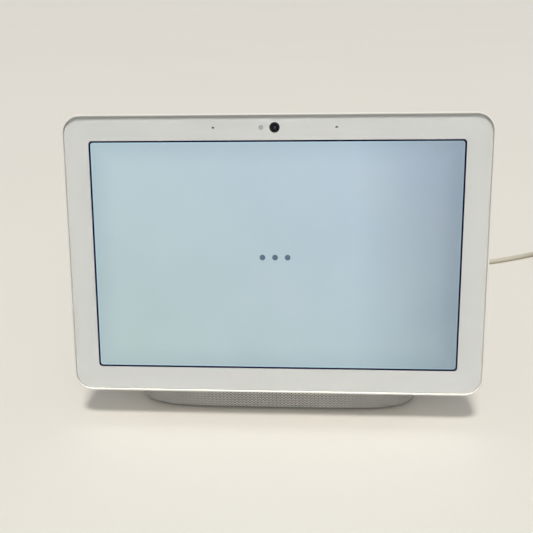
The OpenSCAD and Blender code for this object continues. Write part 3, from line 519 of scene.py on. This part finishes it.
def make_cord():
    points = flat(ROUTE + coil_points() + LEAD)
    data = bpy.data.curves.new("cord", "CURVE")
    data.dimensions = "3D"
    data.bevel_depth = CORD_R * MM
    data.bevel_resolution = 4
    data.resolution_u = 5
    data.use_fill_caps = True
    spline = data.splines.new("BEZIER")
    spline.bezier_points.add(len(points) - 1)
    for i, (knot, p) in enumerate(zip(spline.bezier_points, points)):
        before = points[max(0, i - 1)]
        after = points[min(len(points) - 1, i + 1)]
        along = (after - before).normalized()
        knot.co = p
        knot.handle_left = p - along * (p - before).length / 3
        knot.handle_right = p + along * (after - p).length / 3
    cord = bpy.data.objects.new("cord", data)
    bpy.context.scene.collection.objects.link(cord)
    data.materials.append(MATERIALS["cord_jacket"])
    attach(cord, "chassis")
    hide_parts("power_cord", "cord_coil", "adapter_lead")


def make_plug():
    """A straight barrel plug: a grip with fine ribs and a slotted strain relief."""
    profile = [(0.0, -9.3), (2.3, -9.3), (2.7, -8.9), (2.7, 0.1), (4.0, 0.15), (4.6, 0.45), (5.0, 1.0)]
    ribs, first, pitch = 6, 3.0, 2.0
    for i in range(ribs):
        z = first + pitch * i
        profile += [(5.0, z), (4.65, z + 0.25), (4.65, z + 0.75), (5.0, z + 1.0)]
    profile += [(5.0, GRIP_L - 5.5), (4.75, GRIP_L - 3.5), (4.2, GRIP_L - 1.2), (3.3, GRIP_L)]
    slots = 6
    for i in range(slots):
        z = GRIP_L + 0.6 + i * (RELIEF_L - 1.4) / slots
        r = 3.25 - 0.75 * (z - GRIP_L) / RELIEF_L
        profile += [(r, z), (r, z + 1.1), (r - 0.42, z + 1.25), (r - 0.42, z + 1.9)]
    profile += [(CORD_R + 0.5, GRIP_L + RELIEF_L - 0.2), (CORD_R + 0.05, GRIP_L + RELIEF_L),
                (CORD_R + 0.05, GRIP_L + RELIEF_L - 0.4), (0.0, GRIP_L + RELIEF_L - 0.4)]

    def place(p):
        return Vector((JACK[0] + p[0], JACK[1] + p[2], JACK[2] - p[1])) * MM
    bm = loft(lathe(profile, 48, place), cap_first=False, cap_last=False)
    bmesh.ops.remove_doubles(bm, verts=bm.verts, dist=1e-7)
    return piece("plug", bm, replaces=("dc_plug",), slot="plug_plastic")


def make_adapter():
    """A rounded wall adapter with a parting line and a ribbed relief where the cord leaves it."""
    half_z = ADAPTER_SIZE[2] / 2
    rings = []
    edge = 4.0
    angles = [math.radians(a) for a in range(-90, 91, 10)]
    bends = [(edge * (1 - math.cos(a)), edge * math.sin(a)) for a in angles]
    profile = [(step_in, rise - half_z + edge) for step_in, rise in bends[:9]]
    profile += [(0.0, -half_z + edge), (0.0, 2.25), (0.35, 2.4), (0.35, 2.7), (0.0, 2.85)]
    profile += [(0.0, half_z - edge)] + [(step_in, rise + half_z - edge) for step_in, rise in bends[10:]]
    for step_in, z in profile:
        outline = rounded_ring(ADAPTER_SIZE[0] / 2 - step_in, ADAPTER_SIZE[1] / 2 - step_in, 9 - step_in, 8)
        rings.append(flat([(ADAPTER_MID[0] + x, ADAPTER_MID[1] + y, ADAPTER_MID[2] + z) for x, y in outline]))
    bm = loft(rings)
    relief = [(0.0, -0.3), (4.6, -0.3), (4.5, 0.4)]
    for i in range(6):
        z = 0.9 + i * 2.45
        r = 4.2 - 1.5 * z / 16
        relief += [(r, z), (r, z + 1.3), (r - 0.45, z + 1.5), (r - 0.45, z + 2.25)]
    relief += [(CORD_R + 0.5, 16), (CORD_R + 0.02, 16.2), (CORD_R + 0.02, 15.9), (0.0, 15.9)]

    top = ADAPTER_MID[1] + ADAPTER_SIZE[1] / 2

    def place(p):
        return Vector((ADAPTER_MID[0] + p[0], top + p[2], ADAPTER_MID[2] - p[1])) * MM
    add_loft(bm, lathe(relief, 40, place), False, False)
    bmesh.ops.remove_doubles(bm, verts=bm.verts, dist=1e-7)
    return piece("wall_adapter", bm, replaces=("power_adapter",), slot="plug_plastic")


def make_tie():
    """A soft strap round the coil's turns."""
    a = math.radians(250)
    mid = Vector((COIL_MID[0], COIL_MID[1], COIL_LOW + COIL_H / 2)) * MM
    out = Vector((math.cos(a), math.sin(a), 0))
    side = Vector((-math.sin(a), math.cos(a), 0))
    up = Vector((0, 0, 1))
    half = ((COIL_OUT - COIL_IN + CORD_D + 2.4) / 2, (COIL_H + 1.6) / 2)
    centre = mid + out * (COIL_IN + COIL_OUT) / 2 * MM
    loops = []
    for inset, across in ((0.0, -2.7), (0.0, 2.7), (0.25, 3.0), (0.7, 3.0), (0.7, -3.0), (0.25, -3.0)):
        outline = rounded_ring(half[0] - inset, half[1] - inset, 2.2 - inset, 8)
        loops.append([centre + (out * x + up * z + side * across) * MM for x, z in outline])
    bm = loft(loops, closed=True)
    return piece("strap", bm, replaces=("cord_tie",), slot="tie_rubber")


# ---- head -------------------------------------------------------------------------------------
def head_ring(step_in, depth, steps=14):
    w, h, r = HEAD_W - 2 * step_in, HEAD_H - 2 * step_in, max(2.5, CORNER_R - step_in)
    return plate_ring(w, h, r, depth, steps=steps)


def head_bend(wall, edge_r, steps=10):
    bend = HEAD_T - BACK_EDGE_R
    arcs = [math.radians(90 * i / steps) for i in range(steps + 1)]
    return [head_ring(wall + edge_r * (1 - math.cos(a)), bend + edge_r * math.sin(a)) for a in arcs]


def box_cutter(x0, x1, up0, up1, depth0, depth1, r=0.6):
    w, h = x1 - x0, up1 - up0
    rings = [plate_ring(w, h, r, d, (up0 + up1) / 2, (x0 + x1) / 2, 5) for d in (depth0, depth1)]
    return loft(rings)


def make_housing():
    outer = [head_ring(0.42, RIM_Y), head_ring(0.18, RIM_Y + 0.06), head_ring(0.05, RIM_Y + 0.2),
             head_ring(0, RIM_Y + 0.42)] + head_bend(0, BACK_EDGE_R)
    inner = [head_ring(RIM_W - 0.12, RIM_Y), head_ring(RIM_W, RIM_Y + 0.14), head_ring(RIM_W, FRAME_FRONT),
             head_ring(COVER_WALL, FRAME_FRONT)] + head_bend(COVER_WALL, BACK_EDGE_R - COVER_WALL)
    bm = bmesh.new()
    a = add_loft(bm, outer, cap_first=False)
    b = add_loft(bm, inner, cap_first=False)
    n = len(a[0])
    for k in range(n):
        j = (k + 1) % n
        bm.faces.new((a[0][k], a[0][j], b[0][j], b[0][k]))
    housing = piece("housing_shell", bm, replaces=("rear_cover",), slot="housing")
    neck_gap, rocker_gap = 1.0, 0.3
    through = (HEAD_T - 3, HEAD_T + 1)
    half_neck, half_rise = NECK_W / 2 + neck_gap, NECK_L / 2 + neck_gap
    rx, rz = ROCKER
    key_w, key_h = [size / 2 + rocker_gap for size in ROCKER_SIZE]
    cutters = [
        box_cutter(-half_neck, half_neck, NECK_MID - half_rise, NECK_MID + half_rise, *through, 2),
        box_cutter(-4.9, 4.9, PRIVACY_Z - 2.2, PRIVACY_Z + 2.2, *through, 1.0),
        box_cutter(rx - key_w, rx + key_w, rz - key_h, rz + key_h, *through, 2.8)]
    cut(housing, cutters)
    finish_edges(housing)


def finish_edges(obj):
    obj.data.shade_smooth()
    obj.data.set_sharp_from_angle(angle=math.radians(38))


def make_front_glass():
    """The cover glass with a polished edge, slotted for the microphones."""
    inset = RIM_W + GLASS_GAP
    w, h, r = HEAD_W - 2 * inset, HEAD_H - 2 * inset, CORNER_R - inset
    edge = 0.3
    rings = []
    for i in range(5):
        a = math.radians(90 * i / 4)
        step_in, depth = edge * (1 - math.sin(a)), edge * (1 - math.cos(a))
        rings.append(plate_ring(w - 2 * step_in, h - 2 * step_in, r - step_in, depth, steps=14))
    rings.append(plate_ring(w, h, r, GLASS_T, steps=14))
    glass = piece("front_glass", loft(rings), replaces=("cover_glass",), slot="front_glass")
    cut(glass, [box_cutter(x - 0.75, x + 0.75, CAMERA_Z - 0.5, CAMERA_Z + 0.5, -1, 3, 0.3)
                for x in (-MIC_SPACING, MIC_SPACING)])
    finish_edges(glass)


def make_picture():
    """The panel whose face is the lit picture, mapped in millimetres from its middle."""
    low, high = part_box("lcd_panel")
    w = (high.x - low.x) / MM
    depth, t, h, mid = 2.2, 1.2, 144.6, 82.5
    rings = [plate_ring(w - 0.4, h - 0.4, 0.8, depth, mid, steps=4),
             plate_ring(w, h, 1, depth + 0.15, mid, steps=4), plate_ring(w, h, 1, depth + t, mid, steps=4)]
    panel = piece("screen_panel", loft(rings), replaces=("lcd_panel",), slot="screen", smooth=False)
    layer = panel.data.uv_layers.new(name="picture")
    centre = on_head(0, 0, HEAD_MID)
    slope = Vector((0, math.sin(TILT), math.cos(TILT)))
    for loop in panel.data.loops:
        p = panel.data.vertices[loop.vertex_index].co - centre
        layer.data[loop.index].uv = (p.x / MM, p.dot(slope) / MM)


def rounded_key(name, w, h, r, x, mid, back, front, node, body, slot="housing", ribs=()):
    """A key with a softly crowned face, and low ribs on it."""
    profile = [(0.0, back), (0.0, front - 0.55), (0.1, front - 0.3), (0.3, front - 0.1), (0.6, front),
               (w * 0.3, front + 0.12)]
    rings = [plate_ring(w - 2 * s, h - 2 * s, max(0.2, r - s), d, mid, x, 8) for s, d in profile]
    bm = loft(rings)
    for rib in ribs:
        add_loft(bm, [plate_ring(rib[0], rib[1], min(rib[0], rib[1]) / 2.2, d, rib[3], rib[2], 4)
                      for d in (front - 0.05, front + 0.28)])
    piece(name, bm, body, (node,), slot)


def make_keys():
    """The privacy switch and the volume rocker. Both stand a little proud of the housing's back."""
    x = -1.5
    ribs = [(0.5, 2.4, x + d, PRIVACY_Z) for d in (-1.5, 0, 1.5)]
    rounded_key("privacy_knob", 6, 3.4, 0.8, x, PRIVACY_Z, 11.2, HEAD_T + 0.8, "privacy_switch_knob",
                "privacy_slider", ribs=ribs)
    rx, rz = ROCKER
    dots = [(1.1, 1.1, rx, rz + d) for d in (-8.5, 8.5)]
    rounded_key("volume_key", *ROCKER_SIZE, 2.5, rx, rz, 11.4, HEAD_T + 0.9, "volume_rocker", "volume_key",
                ribs=dots)


# ---- base -------------------------------------------------------------------------------------
def head_plane_y(z):
    return -BASE_BACK + (HEAD_T + FRONT_GAP) / math.cos(TILT) + (z - HEAD_LIFT) * math.tan(TILT)


def front_y(z):
    if z >= SHOULDER_HIGH:
        return head_plane_y(z)
    s = max(0.0, z - SHOULDER_LOW) / (SHOULDER_HIGH - SHOULDER_LOW)
    return BASE_FRONT + (head_plane_y(SHOULDER_HIGH) - BASE_FRONT) * (1 - math.sqrt(1 - s * s))


def back_y(z):
    t = min(1.0, max(0.0, z - HEEL_H) / (BASE_H - HEEL_H))
    return BASE_BACK - max(0.0, z - HEEL_H) * BACK_SLOPE + BACK_BULGE * math.sin(math.pi * t)


def half_w(z):
    return BASE_W / 2 - (BASE_W - BASE_TOP_W) / 2 * (max(0.0, z - HEEL_H) / (BASE_H - HEEL_H)) ** 1.3


def base_ring(z, off, n):
    """The base's outline at one height, drawn in by off all round."""
    top = BASE_H - off
    s = min(1.0, max(0.0, (z - top + TOP_ROUND_H) / TOP_ROUND_H))
    room = (back_y(top) - front_y(top)) / 2 - off - 0.9
    under = max(0.0, BASE_LOW + HEEL_R - max(z, BASE_LOW))
    step_in = off + room * (1 - math.sqrt(1 - s * s)) + HEEL_R - math.sqrt(HEEL_R ** 2 - under ** 2)
    w = half_w(z) - step_in
    d = (back_y(z) - front_y(z)) / 2 - step_in
    mid = (back_y(z) + front_y(z)) / 2
    front_power = OUTLINE_POWER + 1.8 + 3.7 * min(1.0, max(0.0, (z - 8) / 30))
    points = []
    for k in range(n):
        a = 2 * math.pi * k / n
        p = front_power if math.sin(a) < 0 else OUTLINE_POWER
        bx = math.copysign(abs(math.cos(a)) ** (2 / p), math.cos(a))
        by = math.copysign(abs(math.sin(a)) ** (2 / p), math.sin(a))
        points.append(Vector((w * bx, mid + d * by, z)) * MM)
    return points


def heights(top):
    """Close together at the rounded foot, at the shoulder and at the rounded top."""
    low = [BASE_LOW + HEEL_R * (1 - math.cos(math.radians(a))) for a in range(0, 91, 11)]
    body = [6 + 1.0 * i for i in range(13)] + [18.6, 19, 20.5]
    upper = [24 + 4 * i for i in range(int((top - TOP_ROUND_H - 24) / 4) + 1)]
    crown = [top - TOP_ROUND_H + TOP_ROUND_H * math.sin(math.radians(a)) for a in range(8, 91, 8)]
    return low + body + upper + [h for h in crown if h > upper[-1] + 0.5] + [top]


def spread_evenly(ring, n):
    """The same closed outline with its points at equal distances."""
    steps = [(b - a).length for a, b in zip(ring, ring[1:] + ring[:1])]
    total = sum(steps)
    points, k, before = [], 0, 0.0
    for i in range(n):
        goal = total * i / n
        while before + steps[k] < goal:
            before += steps[k]
            k += 1
        points.append(ring[k].lerp(ring[(k + 1) % len(ring)], (goal - before) / max(steps[k], 1e-12)))
    return points


def make_sleeve(around=280):
    """The knitted sleeve: one stretched skin with its thickness, turned in under the base."""
    outer = [spread_evenly(base_ring(z, 0, 720), around) for z in heights(BASE_H)]
    inner = [spread_evenly(base_ring(z, FABRIC_T, 720), around) for z in heights(BASE_H - FABRIC_T)]
    bm = bmesh.new()
    a = add_loft(bm, outer, cap_first=False)
    b = add_loft(bm, inner, cap_first=False)
    for k in range(around):
        j = (k + 1) % around
        bm.faces.new((a[0][k], a[0][j], b[0][j], b[0][k]))
    sleeve = piece("knit_sleeve", bm, replaces=("fabric_sleeve",), slot="knit")
    g = 0.6
    neck = box_cutter(-NECK_W / 2 - g, NECK_W / 2 + g, NECK_MID - NECK_L / 2 - g, NECK_MID + NECK_L / 2 + g,
                      HEAD_T - 2, HEAD_T + 8.7, 2)

    def place(p):
        return Vector((JACK[0] + p[0], JACK[1] - 9 + p[2], JACK[2] + p[1])) * MM
    jack = loft(lathe([(7, 0), (7, 20)], 40, place))
    cut(sleeve, [neck, jack])
    map_stitches(sleeve)
    finish_edges(sleeve)


def map_stitches(obj):
    """Stitch coordinates in millimetres: along the outline on the walls, and flat over the top."""
    mesh = obj.data
    layer = mesh.uv_layers.new(name="stitches")
    for face in mesh.polygons:
        normal = face.normal
        for index in face.loop_indices:
            p = mesh.vertices[mesh.loops[index].vertex_index].co / MM
            if abs(normal.z) > 0.8:
                layer.data[index].uv = (p.x, p.y)
            elif abs(normal.x) > 0.75:
                layer.data[index].uv = (p.y * math.copysign(1, normal.x) + 300, p.z)
            else:
                layer.data[index].uv = (p.x, p.z * 1.03)


# ---- stage ------------------------------------------------------------------------------------
def make_stage():
    bm = bmesh.new()
    bmesh.ops.create_grid(bm, x_segments=2, y_segments=2, size=9)
    mesh = bpy.data.meshes.new("floor")
    bm.to_mesh(mesh)
    bm.free()
    floor = bpy.data.objects.new("floor", mesh)
    bpy.context.scene.collection.objects.link(floor)
    s = Surface("floor", (0.82, 0.785, 0.71), 0.6)
    s.paint(s.mix(s.between(s.noise(3, 4), 0.0, 1.0), (0.815, 0.78, 0.705), (0.83, 0.795, 0.72)))
    s.relief(s.noise(400, 3), 0.00003)
    mesh.materials.append(s.material)


def lamp(name, place, aim, size, power, colour=(1, 1, 1)):
    data = bpy.data.lights.new(name, "AREA")
    data.shape = "RECTANGLE"
    data.size, data.size_y = size
    data.energy = power
    data.color = colour
    obj = bpy.data.objects.new(name, data)
    obj.location = place
    obj.rotation_euler = (Vector(aim) - Vector(place)).to_track_quat("-Z", "Y").to_euler()
    bpy.context.scene.collection.objects.link(obj)


def make_light():
    """A sun from above and in front, an even, slightly cool room and a weak fill light."""
    world = bpy.data.worlds.new("studio")
    world.use_nodes = True
    world.node_tree.nodes["Background"].inputs[0].default_value = (0.95, 0.97, 1.0, 1)
    world.node_tree.nodes["Background"].inputs[1].default_value = 0.41
    bpy.context.scene.world = world
    data = bpy.data.lights.new("overhead", "SUN")
    data.energy = 1.75
    data.angle = math.radians(12)
    data.color = (1.0, 0.98, 0.945)
    sun = bpy.data.objects.new("overhead", data)
    sun.rotation_euler = (math.radians(15.5), 0, 0)
    bpy.context.scene.collection.objects.link(sun)
    lamp("front_fill", (0.5, -1.6, 1.3), (0, 0, 0.1), (1.6, 1.0), 4, (1.0, 0.99, 0.98))
    bpy.context.scene.view_settings.view_transform = "Standard"


# ---- build ------------------------------------------------------------------------------------
make_camera()
MATERIALS = make_materials()
dress_frame()
cord_pieces = [make_plug(), make_tie(), make_adapter(), nodes["adapter_prongs"]]
make_cord()
make_housing()
make_front_glass()
make_picture()
make_keys()
make_sleeve()
BEVELS = {"adapter_prongs": 0.35, "base_plate": 0.4, "shield_cans": 0.15, "neck_bracket": 0.3}
for name, width in BEVELS.items():
    bevel(nodes[name], width)
make_stage()
make_light()
